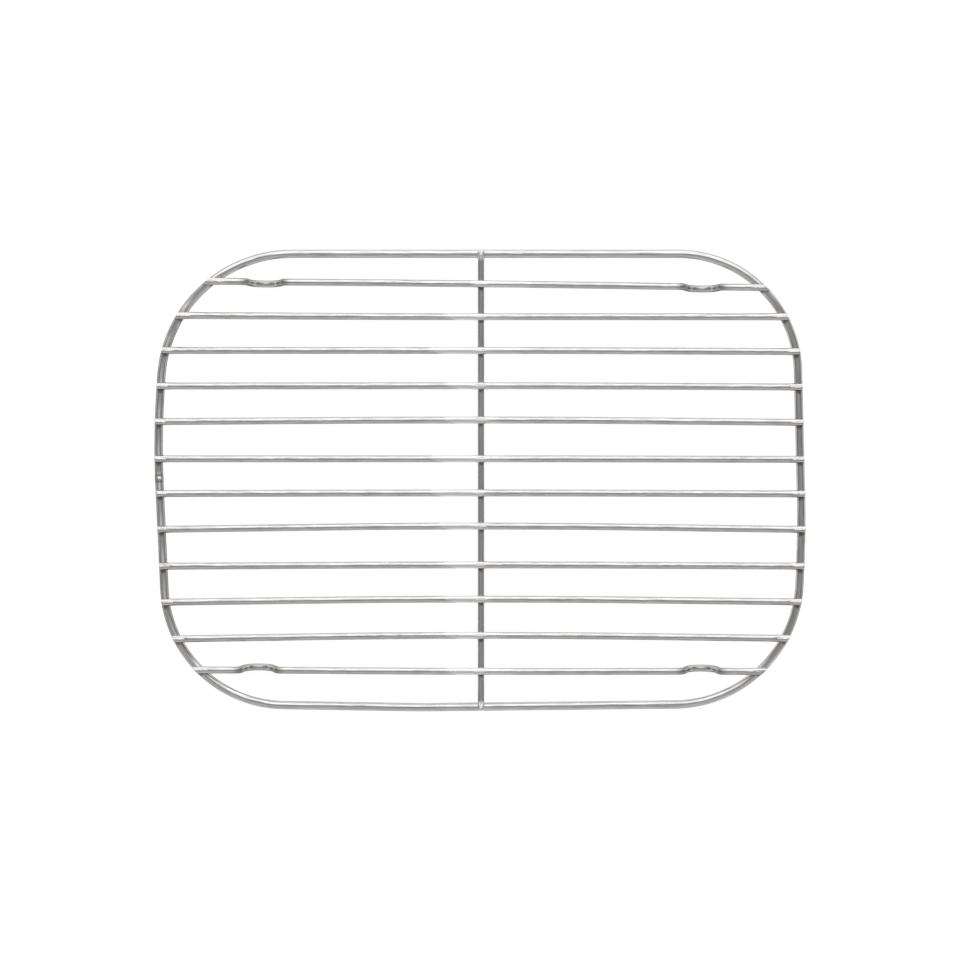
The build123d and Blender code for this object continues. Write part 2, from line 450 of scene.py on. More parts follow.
def carry_circle(points, reference, radius, around):
    """A circle carried along a line: centre + radius * (cos(a) * first + sin(a) * second), where first
    is the reference turned square to the line's heading, and second is heading x first."""
    heading = unit(np.gradient(points, run_lengths(points), axis=0))
    reference = np.asarray(reference, float)
    first = unit(reference - (heading @ reference)[:, None] * heading)
    second = np.cross(heading, first)
    a = np.linspace(0.0, 2 * pi, around, endpoint=False)
    radius = np.broadcast_to(radius, len(points))[:, None, None]
    rings = points[:, None] + radius * (
        np.cos(a)[None, :, None] * first[:, None] + np.sin(a)[None, :, None] * second[:, None]
    )
    return rings, a


def straight_coords(along, angles, radius, seed):
    """Each point's place on the wire as if that were straight: along it, and the two ways across."""
    shape = (len(along), len(angles))
    start = np.broadcast_to((along + seed)[:, None], shape)
    across = np.broadcast_to(np.cos(angles) * radius, shape)
    other = np.broadcast_to(np.sin(angles) * radius, shape)
    return np.stack([start, across, other], axis=-1)


def wire_object(name, rings, coords, marks, closed=False):
    """A closed mesh from rings of points: four-sided faces between neighbouring rings, and a fan of
    triangles over each open end. Marks are further values at the points, by name."""
    count, around = rings.shape[:2]
    grid = np.arange(count * around).reshape(count, around)
    ahead = np.roll(grid, -1, axis=0) if closed else grid[1:]
    here = grid if closed else grid[:-1]
    quads = np.stack(
        [here, np.roll(here, -1, axis=1), np.roll(ahead, -1, axis=1), ahead], axis=-1
    ).reshape(-1, 4)
    points = rings.reshape(-1, 3)
    values = coords.reshape(-1, 3)
    marks = {key: mark.reshape(-1) for key, mark in marks.items()}
    faces = quads.tolist()
    if not closed:
        first, last = grid[0], grid[-1]
        tip = len(points)
        start_fan = np.stack([np.full(around, tip), np.roll(first, -1), first], axis=-1)
        end_fan = np.stack([np.full(around, tip + 1), last, np.roll(last, -1)], axis=-1)
        points = np.concatenate([points, [rings[0].mean(axis=0), rings[-1].mean(axis=0)]])
        values = np.concatenate([values, [coords[0].mean(axis=0), coords[-1].mean(axis=0)]])
        marks = {key: np.append(mark, [mark[0], mark[-1]]) for key, mark in marks.items()}
        faces += start_fan.tolist() + end_fan.tolist()
    mesh = bpy.data.meshes.new(name)
    mesh.from_pydata(points.tolist(), [], faces)
    mesh.polygons.foreach_set("use_smooth", np.ones(len(faces), bool))
    place = mesh.attributes.new(WIRE_COORD, "FLOAT_VECTOR", "POINT")
    place.data.foreach_set("vector", values.astype(np.float32).ravel())
    for key, mark in marks.items():
        layer = mesh.attributes.new(key, "FLOAT", "POINT")
        layer.data.foreach_set("value", mark.astype(np.float32))
    if mesh.validate():
        raise RuntimeError(f"{name} has faults in its mesh")
    piece = bpy.data.objects.new(name, mesh)
    bpy.context.scene.collection.objects.link(piece)
    return piece


def finish_piece(piece, material, *nodes):
    """Gives a piece its material and its place on the solids."""
    piece.data.materials.append(material)
    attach(piece, ROOT)
    if nodes:
        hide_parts(*nodes)


def heat_at(points, spots, reach):
    """Heat left by welds: the largest of exp(-(distance / reach)^2) over the weld spots."""
    heat = np.zeros(points.shape[:-1])
    for spot in spots:
        square = ((points - spot) ** 2).sum(axis=-1)
        heat = np.maximum(heat, np.exp(-square / reach**2))
    return heat


def frame_crossings(sizes):
    """Middle of the weld between each rod end and the frame."""
    _, loop, _, _ = heights(sizes)
    axis = frame_edge(sizes, sizes.frame_diameter / 2)
    levels, tilts = rod_levels(sizes)
    spots = []
    for level, tilt in zip(levels, tilts):
        for side in (-1, 1):
            rough = edge_x(axis, level, side)
            y = level + rough * tan(tilt)
            spots.append((edge_x(axis, y, side), y, loop + sizes.frame_diameter / 2))
    return np.array(spots)


def brace_crossings(sizes):
    """Middle of the weld between each rod and the brace."""
    _, _, brace, _ = heights(sizes)
    levels, _ = rod_levels(sizes)
    bows = np.array([0.0] + [row[1] for row in CROSS_RODS] + [0.0]) * MM
    spots = np.zeros((len(levels), 3))
    spots[:, 0] = sizes.brace_shift
    spots[:, 1] = levels + bows
    spots[:, 2] = brace + sizes.brace_diameter / 2
    return spots


def brace_ends(sizes):
    """Middle of the weld between the brace and the frame, at the back and the front."""
    _, loop, _, _ = heights(sizes)
    reach = sizes.rack_width / 2 - sizes.frame_diameter / 2
    top = loop + sizes.frame_diameter / 2
    return np.array([(sizes.brace_shift, reach, top), (sizes.brace_shift, -reach, top)])


def seat_and_cut(rings, axis, sizes, edge, ends_at):
    """Presses a rod flat over the frame and the brace, spreads it there, and slants its cut ends along
    the frame. Points over a flat come down to it, and a section near an end is sheared so that its
    points keep to the frame's edge. Returns the share of pressing at each point."""
    radius = sizes.cross_diameter / 2
    ends, _, _, middle = heights(sizes)
    lap = sizes.frame_diameter / 2 + sizes.press_width / 2
    lean = tan(sizes.press_lean)
    press = np.zeros(rings.shape[:2])
    for side, (end_x, end_y) in zip((-1, 1), ends_at):
        slope = (edge_x(edge, end_y + radius / 2, side) - edge_x(edge, end_y - radius / 2, side)) / radius
        span = lap * np.hypot(1.0, slope)
        inward = (end_x - axis[:, 0]) * side
        near = smooth(1.0 - (inward - span) / PRESS_BLEND)
        shear = smooth(1.0 - (inward - span - SLANT_START) / SLANT_BLEND)
        near = near * (axis[:, 2] > ends - radius)
        shear = shear * (axis[:, 2] > ends - radius)
        off = rings[..., 1] - axis[:, None, 1]
        rings[..., 1] += off * ROD_SPREAD * near[:, None]
        rings[..., 0] += off * slope * shear[:, None]
        flat = ends + radius - sizes.press_depth - lean * off
        over = np.maximum(rings[..., 2] - flat, 0.0)
        rings[..., 2] -= over * near[:, None]
        press = np.maximum(press, near[:, None] * np.ones(rings.shape[1]))
    away = np.abs(axis[:, 0] - sizes.brace_shift)
    near = smooth(1.0 - (away - sizes.press_width / 3) / PRESS_BLEND)
    off = rings[..., 1] - axis[:, None, 1]
    rings[..., 1] += off * ROD_SPREAD * near[:, None]
    flat = middle + radius - sizes.press_depth - lean * off
    rings[..., 2] -= np.maximum(rings[..., 2] - flat, 0.0) * near[:, None]
    return np.maximum(press, near[:, None] * np.ones(rings.shape[1]))


def rim_scale(distance, radius, rim):
    """Radius near a cut end whose edge is a quarter round of the rim radius."""
    t = np.clip(1.0 - distance / rim, 0.0, 1.0)
    return radius - rim * (1.0 - np.sqrt(1.0 - t * t))


def rim_stations(rim):
    """Distances from a cut end that follow its rounded edge."""
    return rim * (1.0 - np.cos(np.linspace(0.0, pi / 2, 6)))


def crown_radius(sizes, start, corner, end):
    """A bend as wide as it can be that leaves the rod straight where the electrode presses it."""
    turn = np.arccos(np.clip(unit(corner - start) @ unit(end - corner), -1.0, 1.0))
    return (sizes.crown_reach - sizes.press_width) / np.tan(turn / 2)


def rod_ends(level, tilt, edge):
    """Where a rod is cut, on the left and on the right."""
    found = []
    for side in (-1, 1):
        y = level + edge_x(edge, level, side) * tan(tilt)
        found.append((edge_x(edge, y, side), y))
    return found


def cross_rod_axis(sizes, level, bow, ends_at):
    """Centre line of a cross rod: straight from each end up to the crown, and bent there to lie level
    over the brace."""
    ends, _, _, middle = heights(sizes)
    (left_x, left_y), (right_x, right_y) = ends_at
    left = np.array((left_x, left_y, ends))
    right = np.array((right_x, right_y, ends))
    left_corner = np.array((sizes.brace_shift - sizes.crown_reach, level + bow, middle))
    right_corner = np.array((sizes.brace_shift + sizes.crown_reach, level + bow, middle))
    radii = [
        crown_radius(sizes, left, left_corner, right_corner),
        crown_radius(sizes, left_corner, right_corner, right),
    ]
    line = rounded_path([left, left_corner, right_corner, right], radii)
    rim = rim_stations(sizes.rim_radius)
    fine = np.arange(END_START, END_REACH, END_STEP)
    middle_fine = sizes.brace_shift + np.arange(-MIDDLE_REACH, MIDDLE_REACH, MIDDLE_STEP)
    stations = np.unique(
        np.concatenate(
            [
                left_x + rim,
                left_x + fine,
                np.arange(left_x + END_REACH, right_x - END_REACH, RING_STEP),
                middle_fine,
                right_x - fine,
                right_x - rim,
            ]
        )
    )
    return at_stations(line, line[:, 0], stations)


def foot_rod_axis(sizes, level, tilt, lean, left_inset, ends_at):
    """Centre line of a foot rod in its leaning plane: along to the foot, down, round its bottom and up
    again, over the crown at the brace, and the same on the other side."""
    ends, _, _, middle = heights(sizes)
    along = np.array((cos(tilt), sin(tilt), 0.0))
    up = np.array((0.0, sin(lean), cos(lean)))
    up = unit(up - (up @ along) * along)
    drop = sizes.foot_drop / cos(lean)
    crown = (middle - ends) / cos(lean)
    half_length = sizes.rack_length / 2
    left_outer = left_inset - half_length - sizes.foot_width / 2
    left_inner = left_outer + sizes.foot_width
    right_outer = half_length - sizes.foot_inset + sizes.foot_width / 2
    right_inner = right_outer - sizes.foot_width
    slant_run = drop * tan(sizes.foot_slant)
    flat = [
        (ends_at[0][0] / cos(tilt), 0.0),
        (left_outer, 0.0),
        (left_outer + slant_run, -drop),
        (left_inner - slant_run, -drop),
        (left_inner, 0.0),
        (sizes.brace_shift - sizes.crown_reach, crown),
        (sizes.brace_shift + sizes.crown_reach, crown),
        (right_inner, 0.0),
        (right_inner + slant_run, -drop),
        (right_outer - slant_run, -drop),
        (right_outer, 0.0),
        (ends_at[1][0] / cos(tilt), 0.0),
    ]
    flat = np.array(flat)
    half_bottom = sizes.foot_width / 2 - slant_run - sizes.foot_flat / 2
    bottom = half_bottom / tan((pi / 2 - sizes.foot_slant) / 2)
    bends = [sizes.shoulder_radius, bottom, bottom, sizes.shoulder_radius]
    crowns = [crown_radius(sizes, flat[4], flat[5], flat[6]), crown_radius(sizes, flat[5], flat[6], flat[7])]
    corners = np.array((0.0, level, ends)) + flat[:, :1] * along + flat[:, 1:] * up
    line = rounded_path(corners, bends + crowns + bends)
    known = run_lengths(line)
    total = known[-1]
    rim = rim_stations(sizes.rim_radius)
    fine = np.arange(END_START, END_REACH, END_STEP)
    middle_at = np.interp(sizes.brace_shift, line[line[:, 2] > ends][:, 0], known[line[:, 2] > ends])
    stations = np.unique(
        np.round(
            np.concatenate(
                [
                    rim,
                    fine,
                    np.arange(END_REACH, total - END_REACH, FOOT_STEP),
                    middle_at + np.arange(-MIDDLE_REACH, MIDDLE_REACH, MIDDLE_STEP),
                    total - fine,
                    total - rim,
                ]
            ),
            6,
        )
    )
    return at_stations(line, known, stations), np.cross(up, along)


def crown_painted_highlight(rings, axis, sizes, crown):
    """Share of painted highlight on a rod's crown: on the left of the brace it starts at a slanted edge,
    later towards the front, and on the right it fades away."""
    left, right = (reach * MM for reach in crown)
    away = (axis[:, 0] - sizes.brace_shift)[:, None]
    front = np.clip((axis[:, None, 1] - rings[..., 1]) * 2 / sizes.cross_diameter, 0.0, 1.0)
    to_left = smooth((left + away - CROWN_SLANT * front) / CROWN_EDGE)
    fading = CROWN_FADE_SHARE * smooth((right - away) / CROWN_FADE)
    to_right = np.maximum(fading, smooth(1.0 - away / CROWN_NEAR))
    return np.where(away < 0.0, to_left, to_right)


def painted_front_shade(rings, axis, radius, sizes):
    """How much painted shade darkens a rod's glancing edge: little at the back, more in front, and most at
    its two ends.
    """
    front = np.clip((axis[:, None, 1] - rings[..., 1]) / radius, 0.0, 1.0)
    outward = (2.0 * axis[:, 0] / sizes.rack_length)[:, None] ** 2
    return front * (0.65 + 0.35 * outward)


def bend_shade_and_roughness(axis, along, sizes):
    """How much painted shade and added roughness a bend gets: its curvature times the shoulder radius,
    spread along the wire, and less the lower it lies, down to four tenths at the bottom of a foot."""
    heading = unit(np.gradient(axis, along, axis=0))
    curve = np.linalg.norm(np.gradient(heading, along, axis=0), axis=1)
    tight = np.clip(1.5 * curve * sizes.shoulder_radius, 0.0, 1.0)
    window = np.exp(-np.linspace(-2.0, 2.0, 9) ** 2)
    spread = np.convolve(tight, window / window.sum(), mode="same")
    return spread * (0.4 + 0.6 * np.clip(axis[:, 2] / sizes.foot_drop, 0.0, 1.0))


def make_rod(name, sizes, axis, reference, ends_at, edge, seed, crown, material, node):
    """A round rod along its centre line, seated and cut, with its welds' heat marked on it."""
    radius = sizes.cross_diameter / 2
    along = run_lengths(axis)
    width = rim_scale(np.minimum(along, along[-1] - along), radius, sizes.rim_radius)
    rings, angles = carry_circle(axis, reference, width, ROD_AROUND)
    press = seat_and_cut(rings, axis, sizes, edge, ends_at)
    spots = np.concatenate([frame_crossings(sizes), brace_crossings(sizes)])
    heat = heat_at(rings, spots, ROD_HEAT_REACH)
    coords = straight_coords(along, angles, radius, seed)
    # Painted highlight on the crown, which also gets rougher
    crown_highlight = crown_painted_highlight(rings, axis, sizes, crown)
    marks = {
        WELD_HEAT_AND_SHADOW: heat,
        PRESS_MARK: press,
        HIGHLIGHT_MARK: crown_highlight,
        BEND_SHADE_MARK: bend_shade_and_roughness(axis, along, sizes)[:, None] * np.ones(len(angles)),
        # Painted shade at the glancing edge, in front and towards the ends, kept off the crown's painted
        # highlight
        EDGE_SHADE_MARK: painted_front_shade(rings, axis, radius, sizes) * (1.0 - crown_highlight),
    }
    piece = wire_object(name, rings, coords, marks)
    finish_piece(piece, material, node)


def add_node(tree, kind, label, **settings):
    """A node with a label and its settings."""
    node = tree.nodes.new(kind)
    node.label = label
    for key, value in settings.items():
        setattr(node, key, value)
    return node


def new_group(name, inputs, outputs):
    """An empty shader node group with named sockets, and its two end nodes."""
    group = bpy.data.node_groups.new(name, "ShaderNodeTree")
    for socket, kind, default in inputs:
        made = group.interface.new_socket(socket, in_out="INPUT", socket_type=kind)
        if default is not None:
            made.default_value = default
    for socket, kind in outputs:
        group.interface.new_socket(socket, in_out="OUTPUT", socket_type=kind)
    return group, add_node(group, "NodeGroupInput", "In"), add_node(group, "NodeGroupOutput", "Out")


def maths(tree, operation, first, second, label="", clamp=False):
    """A Math node on two values or sockets."""
    node = add_node(tree, "ShaderNodeMath", label, operation=operation, use_clamp=clamp)
    for socket, value in zip(node.inputs, (first, second)):
        if isinstance(value, (int, float)):
            socket.default_value = value
        else:
            tree.links.new(value, socket)
    return node.outputs[0]


def step_between(tree, value, low, high, label=""):
    """A smooth step of a value from nought at low to one at high."""
    node = add_node(tree, "ShaderNodeMapRange", label, interpolation_type="SMOOTHSTEP")
    tree.links.new(value, node.inputs["Value"])
    node.inputs["From Min"].default_value = low
    node.inputs["From Max"].default_value = high
    return node.outputs["Result"]


def mix_colours(tree, amount, first, second, label=""):
    """A colour between two, by an amount."""
    node = add_node(tree, "ShaderNodeMix", label, data_type="RGBA")
    tree.links.new(amount, node.inputs[0])
    for socket, value in zip((node.inputs[6], node.inputs[7]), (first, second)):
        if isinstance(value, tuple):
            socket.default_value = (*value, 1.0)
        else:
            tree.links.new(value, socket)
    return node.outputs[2]


def mix_levels(tree, amount, first, second, label):
    """A level between a socket's or a number's and a second number, by an amount."""
    node = add_node(tree, "ShaderNodeMix", label, data_type="FLOAT")
    tree.links.new(amount, node.inputs[0])
    if isinstance(first, float):
        node.inputs[2].default_value = first
    else:
        tree.links.new(first, node.inputs[2])
    node.inputs[3].default_value = second
    return node.outputs[0]


def noise_at(tree, place, scale, detail, label):
    """A value of noise at a place."""
    noise = add_node(tree, "ShaderNodeTexNoise", label)
    noise.inputs["Scale"].default_value = scale
    noise.inputs["Detail"].default_value = detail
    tree.links.new(place, noise.inputs["Vector"])
    return noise.outputs["Fac"]


def stretched_place(tree, start):
    """A group's place on the wire times its stretch."""
    scaled = add_node(tree, "ShaderNodeVectorMath", "Stretch along the wire", operation="MULTIPLY")
    tree.links.new(start.outputs["Wire Coord"], scaled.inputs[0])
    tree.links.new(start.outputs["Stretch"], scaled.inputs[1])
    return scaled.outputs[0]


def drawing_lines_group():
    """Fine lines along the wire from its drawing: noise that is long along the wire and fine across."""
    group, start, end = new_group(
        "Drawing lines",
        [("Wire Coord", "NodeSocketVector", None), ("Stretch", "NodeSocketVector", (60.0, 2600.0, 2600.0))],
        [("Lines", "NodeSocketFloat")],
    )
    noise = noise_at(group, stretched_place(group, start), 1.0, 3.0, "Lines")
    group.links.new(step_between(group, noise, 0.35, 0.68), end.inputs["Lines"])
    return group


def waves_group():
    """Slow waves and dents of the straightened wire, longer along it than across."""
    group, start, end = new_group(
        "Straightening waves",
        [("Wire Coord", "NodeSocketVector", None), ("Stretch", "NodeSocketVector", (170.0, 420.0, 420.0))],
        [("Height", "NodeSocketFloat"), ("Patches", "NodeSocketFloat")],
    )
    noise = noise_at(group, stretched_place(group, start), 1.0, 2.0, "Waves")
    slow = add_node(group, "ShaderNodeVectorMath", "Where the wire is wavy", operation="MULTIPLY")
    slow.inputs[1].default_value = (22.0, 0.0, 0.0)
    group.links.new(start.outputs["Wire Coord"], slow.inputs[0])
    places = noise_at(group, slow.outputs[0], 1.0, 2.0, "Places")
    patches = step_between(group, places, 0.42, 0.62)
    height = maths(group, "MULTIPLY", noise, patches)
    group.links.new(height, end.inputs["Height"])
    group.links.new(patches, end.inputs["Patches"])
    return group


def weld_heat_group():
    """Heat tint round a weld, and painted shadow in front of it on the frame and brace: straw at its rim,
    brown further in, broken up by noise.
    """
    group, start, end = new_group(
        "Weld heat and shadow",
        [
            ("Heat", "NodeSocketFloat", 0.0),
            ("Wire Coord", "NodeSocketVector", None),
            ("Steel", "NodeSocketColor", (0.7, 0.7, 0.7, 1.0)),
            ("Straw", "NodeSocketColor", (0.6, 0.5, 0.4, 1.0)),
            ("Brown", "NodeSocketColor", (0.3, 0.2, 0.2, 1.0)),
        ],
        [("Color", "NodeSocketColor"), ("Amount", "NodeSocketFloat")],
    )
    noise = noise_at(group, start.outputs["Wire Coord"], 420.0, 2.0, "Uneven heat")
    uneven = maths(group, "ADD", noise, 0.45)
    heat = maths(group, "MULTIPLY", start.outputs["Heat"], uneven)
    straw = mix_colours(
        group, step_between(group, heat, 0.18, 0.5), start.outputs["Steel"], start.outputs["Straw"]
    )
    tinted = mix_colours(group, step_between(group, heat, 0.42, 0.8), straw, start.outputs["Brown"])
    group.links.new(tinted, end.inputs["Color"])
    group.links.new(heat, end.inputs["Amount"])
    return group


def mottle_group():
    """Small dents where the wire was pressed or ground: noise, by the share of pressing."""
    group, start, end = new_group(
        "Press mottle",
        [("Wire Coord", "NodeSocketVector", None), ("Press", "NodeSocketFloat", 0.0)],
        [("Height", "NodeSocketFloat")],
    )
    noise = noise_at(group, start.outputs["Wire Coord"], 850.0, 2.0, "Dents")
    height = maths(group, "MULTIPLY", noise, start.outputs["Press"])
    group.links.new(height, end.inputs["Height"])
    return group


def steel_material(name, finish):
    """Bright drawn steel: lines along the wire, slow waves, heat tint at welds, dents where it was pressed,
    painted highlights on crowns and streaks, painted shade on rougher bends and on glancing edges."""
    line_stretch, wave_stretch, wave_height, added_roughness = STEEL_KINDS[name]
    material = bpy.data.materials.new(name)
    material.use_nodes = True
    tree = material.node_tree
    shader = tree.nodes["Principled BSDF"]
    shader.inputs["Metallic"].default_value = 1.0
    shader.inputs["Specular Tint"].default_value = (*finish.edge, 1.0)
    place = add_node(tree, "ShaderNodeAttribute", "Place on the wire", attribute_name=WIRE_COORD)
    # Heat tint, and painted shadow in front of welds on the frame and the brace
    heat = add_node(tree, "ShaderNodeAttribute", "Weld heat and shadow", attribute_name=WELD_HEAT_AND_SHADOW)
    press = add_node(tree, "ShaderNodeAttribute", "Press mark", attribute_name=PRESS_MARK)
    bright = add_node(tree, "ShaderNodeAttribute", "Painted highlight mark", attribute_name=HIGHLIGHT_MARK)
    bend = add_node(tree, "ShaderNodeAttribute", "Bent", attribute_name=BEND_SHADE_MARK)
    edge = add_node(tree, "ShaderNodeAttribute", "Painted edge shade mask", attribute_name=EDGE_SHADE_MARK)
    lines = add_node(tree, "ShaderNodeGroup", "Drawing lines", node_tree=shared("Drawing lines"))
    lines.inputs["Stretch"].default_value = line_stretch
    waves = add_node(tree, "ShaderNodeGroup", "Waves", node_tree=shared("Straightening waves"))
    waves.inputs["Stretch"].default_value = wave_stretch
    tint = add_node(tree, "ShaderNodeGroup", "Heat tint", node_tree=shared("Weld heat and shadow"))
    tint.inputs["Straw"].default_value = (*finish.straw, 1.0)
    tint.inputs["Brown"].default_value = (*finish.brown, 1.0)
    mottle = add_node(tree, "ShaderNodeGroup", "Mottle", node_tree=shared("Press mottle"))
    tree.links.new(press.outputs["Fac"], mottle.inputs["Press"])
    for group in (lines, waves, tint, mottle):
        tree.links.new(place.outputs["Vector"], group.inputs["Wire Coord"])
    tree.links.new(heat.outputs["Fac"], tint.inputs["Heat"])
    lined = maths(tree, "MULTIPLY", lines.outputs["Lines"], LINE_DULLNESS)
    steel = mix_colours(tree, lined, tuple(finish.base), tuple(finish.dull), "Dull lines")
    # Painted highlight: crowns, streaks and pressed brace ends turn light, and rougher
    steel = mix_colours(tree, bright.outputs["Fac"], steel, tuple(finish.bright), "Painted crown highlight")
    # Painted shade: bends turn darker, and also rougher further on
    steel = mix_colours(tree, bend.outputs["Fac"], steel, tuple(finish.bent), "Painted bend shade")
    tree.links.new(steel, tint.inputs["Steel"])
    # Painted shade: the glancing edge turns to the rim colour where the edge mask says
    facing = add_node(tree, "ShaderNodeLayerWeight", "Turned away")
    turned = step_between(tree, facing.outputs["Facing"], 0.22, 0.6)
    turned = maths(tree, "MULTIPLY", turned, edge.outputs["Fac"])
    steel = mix_colours(tree, turned, tint.outputs["Color"], tuple(finish.rim), "Painted edge shade")
    tree.links.new(steel, shader.inputs["Base Color"])
    rough = maths(tree, "MULTIPLY_ADD", lines.outputs["Lines"], LINE_ROUGHNESS)
    rough.node.inputs[2].default_value = finish.polish + added_roughness
    for mark, added in (
        (bright.outputs["Fac"], BRIGHT_ROUGHNESS),
        (bend.outputs["Fac"], BEND_ROUGHNESS),
        (waves.outputs["Patches"], PATCH_ROUGHNESS),
        (tint.outputs["Amount"], HEAT_ROUGHNESS),
    ):
        rough = maths(tree, "ADD", rough, maths(tree, "MULTIPLY", mark, added))
    tree.links.new(rough, shader.inputs["Roughness"])
    bump = add_node(tree, "ShaderNodeBump", "Waves in the wire")
    bump.inputs["Distance"].default_value = wave_height
    tree.links.new(waves.outputs["Height"], bump.inputs["Height"])
    scratch = add_node(tree, "ShaderNodeBump", "Lines in the wire")
    scratch.inputs["Distance"].default_value = LINE_DEPTH
    tree.links.new(lines.outputs["Lines"], scratch.inputs["Height"])
    tree.links.new(bump.outputs["Normal"], scratch.inputs["Normal"])
    dents = add_node(tree, "ShaderNodeBump", "Press dents")
    dents.inputs["Distance"].default_value = DENT_DEPTH
    tree.links.new(mottle.outputs["Height"], dents.inputs["Height"])
    tree.links.new(scratch.outputs["Normal"], dents.inputs["Normal"])
    tree.links.new(dents.outputs["Normal"], shader.inputs["Normal"])
    return material


GROUP_MAKERS = {
    "Drawing lines": drawing_lines_group,
    "Straightening waves": waves_group,
    "Weld heat and shadow": weld_heat_group,
    "Press mottle": mottle_group,
}


def shared(name):
    """A shared node group, made on first use."""
    return bpy.data.node_groups.get(name) or GROUP_MAKERS[name]()


class RackOperator:
    """What the rack's operators have in common."""

    bl_options = {"REGISTER", "UNDO"}

    @staticmethod
    def settings(context):
        """Sizes and finish of the rack, from the scene."""
        scene = context.scene
        return scene.rack_sizes, scene.rack_steel


class RACK_OT_frame_loop(RackOperator, Operator):
    """Make the closed frame loop, with its butt weld on the left side"""

    bl_idname = "rack.frame_loop"
    bl_label = "Frame Loop"

    @staticmethod
    def gap_place(sizes, axis):
        """Place in the gap between two rods, from nought at the rod behind to one at the rod in front."""
        levels = np.sort(rod_levels(sizes)[0])
        gap = np.interp(axis[:, 1], levels, np.arange(len(levels)))
        return np.ceil(gap) - gap

    def sag(self, sizes, axis):
        """How far the frame hangs between the rod welds: 4 * depth * u * (1 - u), where u is the place
        in the gap, and only on the two ends of the rack."""
        depth = np.where(axis[:, 0] < 0.0, sizes.left_sag, sizes.right_sag)
        place = self.gap_place(sizes, axis)
        return 4.0 * depth * place * (1.0 - place)

    def painted_streak_highlight(self, sizes, rings, axis, along_end):
        """Share of painted highlight on top of the left side: it grows from the rod behind to the rod in
        front, and falls off sideways by exp(-(distance / width)^2)."""
        sideways = np.linalg.norm((rings - axis[:, None])[..., :2], axis=-1)
        top = np.exp(-((sideways / (STREAK_WIDTH * sizes.frame_diameter)) ** 2))
        top = top * (rings[..., 2] > axis[:, None, 2])
        growing = smooth((self.gap_place(sizes, axis) - STREAK_START) / STREAK_GROWTH)
        growing = growing * along_end * (axis[:, 0] < 0.0)
        return STREAK_SHARE * top * growing[:, None]

    def execute(self, context):
        sizes, finish = self.settings(context)
        _, loop, _, _ = heights(sizes)
        radius = sizes.frame_diameter / 2
        line = frame_edge(sizes, radius) + np.array((0.0, 0.0, loop))
        closed = np.concatenate([line, line, line[:1]])
        known = run_lengths(closed)
        total = known[len(line)]
        left = np.nonzero(line[:, 0] < -sizes.rack_length / 2 + 8 * radius)[0]
        start = known[left[np.argmin(np.abs(line[left, 1] - sizes.butt_at))]]
        stations = np.linspace(start, start + total, FRAME_RINGS)
        axis = at_stations(closed, known, stations)
        axis[:, 2] -= self.sag(sizes, axis)
        along = stations - start
        off = np.minimum(along, total - along)
        # The butt weld swells by height * exp(-(distance / width)^2), and its top is ground off
        upset = UPSET_HEIGHT * np.exp(-((off / UPSET_WIDTH) ** 2))
        rings, angles = carry_circle(axis, (0.0, 0.0, 1.0), radius + upset, FRAME_AROUND)
        # The last ring stands on the first one, so it goes
        rings = rings[:-1]
        axis_open, along, off = axis[:-1], along[:-1], off[:-1]
        butt = smooth((GROUND_REACH - off) / GROUND_BLEND)[:, None]
        lean = tan(sizes.press_lean) * (rings[..., 1] - sizes.butt_at)
        flat = axis_open[:, None, 2] + radius - sizes.butt_grind - lean
        rings[..., 2] -= np.maximum(rings[..., 2] - flat, 0.0) * butt
        spots = np.concatenate([frame_crossings(sizes), brace_ends(sizes)])
        # Heat tint moved in front of the welds, so it is also painted shadow
        heat = heat_at(rings, spots - HEAT_SHADOW_SHIFT, FRAME_HEAT_REACH)
        ring = np.exp(-(((off - HEAT_RING_AT) / HEAT_RING_WIDTH) ** 2))
        heat = np.maximum(heat, HEAT_RING_SHARE * ring[:, None])
        heading = unit(np.roll(axis_open, -1, axis=0) - np.roll(axis_open, 1, axis=0))
        # Painted shade at the glancing edge: strongest on the left side, less on the right, and on the front
        # half
        front = np.clip((axis_open[:, None, 1] - rings[..., 1]) / radius, 0.0, 1.0)
        along_end = np.abs(heading[:, 1])
        ends = along_end * np.where(axis_open[:, 0] < 0.0, LEFT_EDGE_SHADE, RIGHT_EDGE_SHADE)
        # The left side gets a painted highlight streak in each gap
        marks = {
            WELD_HEAT_AND_SHADOW: heat,
            PRESS_MARK: butt * np.ones(FRAME_AROUND),
            HIGHLIGHT_MARK: self.painted_streak_highlight(sizes, rings, axis_open, along_end**2),
            EDGE_SHADE_MARK: np.maximum(ends[:, None], FRONT_EDGE_SHADE * front),
        }
        coords = straight_coords(along, angles, radius, FRAME_SEED)
        piece = wire_object("frame_loop", rings, coords, marks, closed=True)
        finish_piece(piece, steel_material("frame_steel", finish), "frame_wire")
        return {"FINISHED"}


